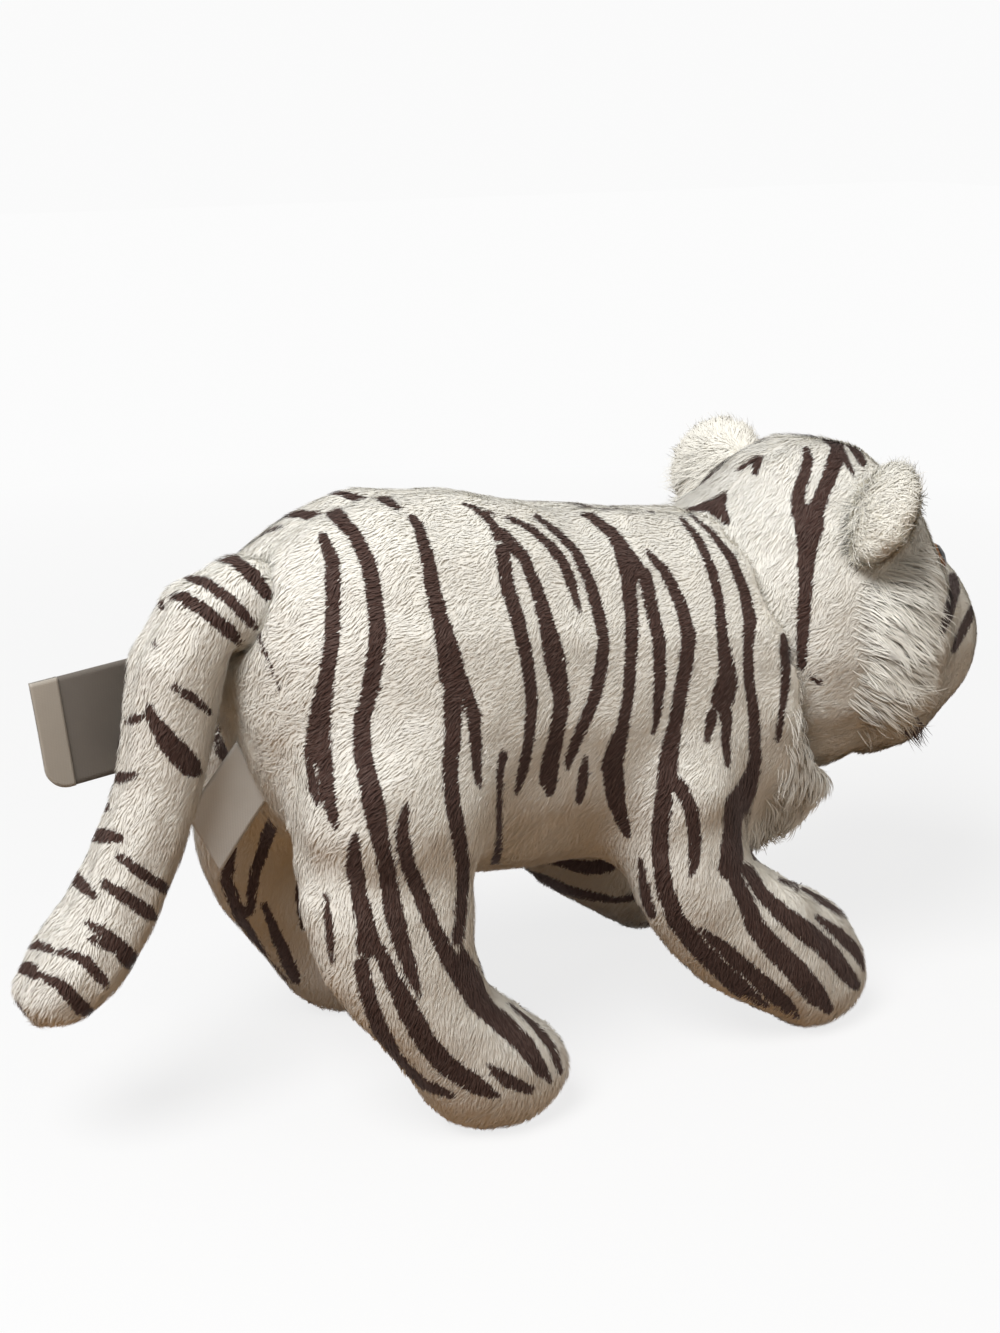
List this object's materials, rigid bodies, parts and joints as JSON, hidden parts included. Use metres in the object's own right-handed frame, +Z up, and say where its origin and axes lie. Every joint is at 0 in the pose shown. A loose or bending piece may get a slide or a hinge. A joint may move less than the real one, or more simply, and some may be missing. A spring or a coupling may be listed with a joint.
{
  "type": "plush tiger",
  "caption": "Standing stuffed toy tiger in striped cloth, with a head that turns and nods, legs and a tail that flex, ears that fold, and bare satin labels.",
  "frame": {"origin": "on the ground, under the middle of the toy's outline", "axes": "+X towards the nose, +Y towards the toy's left side, +Z up"},
  "size_m": [0.2666, 0.097, 0.1395],
  "materials": {
    "striped_cloth": "short pile, printed stripes",
    "white_cloth": "short pile, unprinted",
    "long_fur": "long pile",
    "stuffing": "fibre",
    "bead": "polished",
    "nose_plastic": "fine leather grain",
    "washer": "plain",
    "satin": "satin weave, unprinted"
  },
  "bodies": {
    "torso": {"body_side_right": "striped_cloth", "body_side_left": "striped_cloth", "belly_gusset": "white_cloth", "chest_fur": "long_fur", "body_filling": "stuffing"},
    "hind_leg_right": {"hind_leg_right_outer": "striped_cloth", "hind_leg_right_inner": "white_cloth", "hind_leg_right_filling": "stuffing"},
    "hind_leg_left": {"hind_leg_left_outer": "striped_cloth", "hind_leg_left_inner": "white_cloth", "hind_leg_left_filling": "stuffing"},
    "front_leg_right": {"front_leg_right_outer": "striped_cloth", "front_leg_right_inner": "white_cloth", "front_leg_right_filling": "stuffing"},
    "front_leg_left": {"front_leg_left_outer": "striped_cloth", "front_leg_left_inner": "white_cloth", "front_leg_left_filling": "stuffing"},
    "neck": {"neck_filling": "stuffing"},
    "head": {"head_side_right": "striped_cloth", "head_side_left": "striped_cloth", "head_centre_strip": "striped_cloth", "muzzle": "striped_cloth", "throat": "white_cloth", "head_filling": "stuffing", "eye_right": "bead", "eye_right_washer": "washer", "eye_left": "bead", "eye_left_washer": "washer", "nose": "nose_plastic", "nose_washer": "washer", "cheek_ruff_right": "long_fur", "cheek_ruff_left": "long_fur"},
    "ear_right": {"ear_right_front": "long_fur", "ear_right_back": "long_fur"},
    "ear_left": {"ear_left_front": "long_fur", "ear_left_back": "long_fur"},
    "tail": {"tail_side_right": "striped_cloth", "tail_side_left": "striped_cloth", "tail_filling": "stuffing"},
    "care_label": {"care_label": "satin"},
    "name_label": {"name_label": "satin"}
  },
  "joints": [
    {"name": "neck_turn", "type": "hinge", "parent": "torso", "child": "neck", "pos_m": [0.07158, 0, 0.0945], "axis": [0, 0, 1], "range_deg": [-15, 15], "stiffness_Nm_per_rad": 0.4},
    {"name": "head_nod", "type": "hinge", "parent": "neck", "child": "head", "pos_m": [0.07158, 0, 0.0945], "axis": [0, 1, 0], "range_deg": [-12, 8], "stiffness_Nm_per_rad": 0.6},
    {"name": "hind_leg_right_swing", "type": "hinge", "parent": "torso", "child": "hind_leg_right", "pos_m": [-0.05745, -0.02356, 0.077], "axis": [0, 1, 0], "range_deg": [-10, 10], "stiffness_Nm_per_rad": 0.8},
    {"name": "hind_leg_left_swing", "type": "hinge", "parent": "torso", "child": "hind_leg_left", "pos_m": [-0.05745, 0.02356, 0.077], "axis": [0, 1, 0], "range_deg": [-10, 10], "stiffness_Nm_per_rad": 0.8},
    {"name": "front_leg_right_swing", "type": "hinge", "parent": "torso", "child": "front_leg_right", "pos_m": [0.01698, -0.02402, 0.0672], "axis": [0, 1, 0], "range_deg": [-10, 10], "stiffness_Nm_per_rad": 0.8},
    {"name": "front_leg_left_swing", "type": "hinge", "parent": "torso", "child": "front_leg_left", "pos_m": [0.01698, 0.02402, 0.0672], "axis": [0, 1, 0], "range_deg": [-10, 10], "stiffness_Nm_per_rad": 0.8},
    {"name": "tail_swing", "type": "hinge", "parent": "torso", "child": "tail", "pos_m": [-0.07912, 0, 0.119], "axis": [0, 0, 1], "range_deg": [-18, 18], "stiffness_Nm_per_rad": 0.03},
    {"name": "ear_right_fold", "type": "hinge", "parent": "head", "child": "ear_right", "pos_m": [0.07441, -0.03223, 0.12316], "axis": [0.4766, 0.6216, 0.6216], "range_deg": [-15, 15], "stiffness_Nm_per_rad": 0.02},
    {"name": "ear_left_fold", "type": "hinge", "parent": "head", "child": "ear_left", "pos_m": [0.07441, 0.03223, 0.12316], "axis": [-0.4766, 0.6216, -0.6216], "range_deg": [-15, 15], "stiffness_Nm_per_rad": 0.02},
    {"name": "care_label_flap", "type": "hinge", "parent": "tail", "child": "care_label", "pos_m": [-0.09297, 0.01035, 0.09572], "axis": [0.1045, 0, -0.9945], "range_deg": [0, 25], "stiffness_Nm_per_rad": 0.002},
    {"name": "name_label_flap", "type": "hinge", "parent": "torso", "child": "name_label", "pos_m": [-0.07831, 0, 0.08101], "axis": [0.4382, 0, -0.8989], "range_deg": [-12, 12], "stiffness_Nm_per_rad": 0.002}
  ]
}
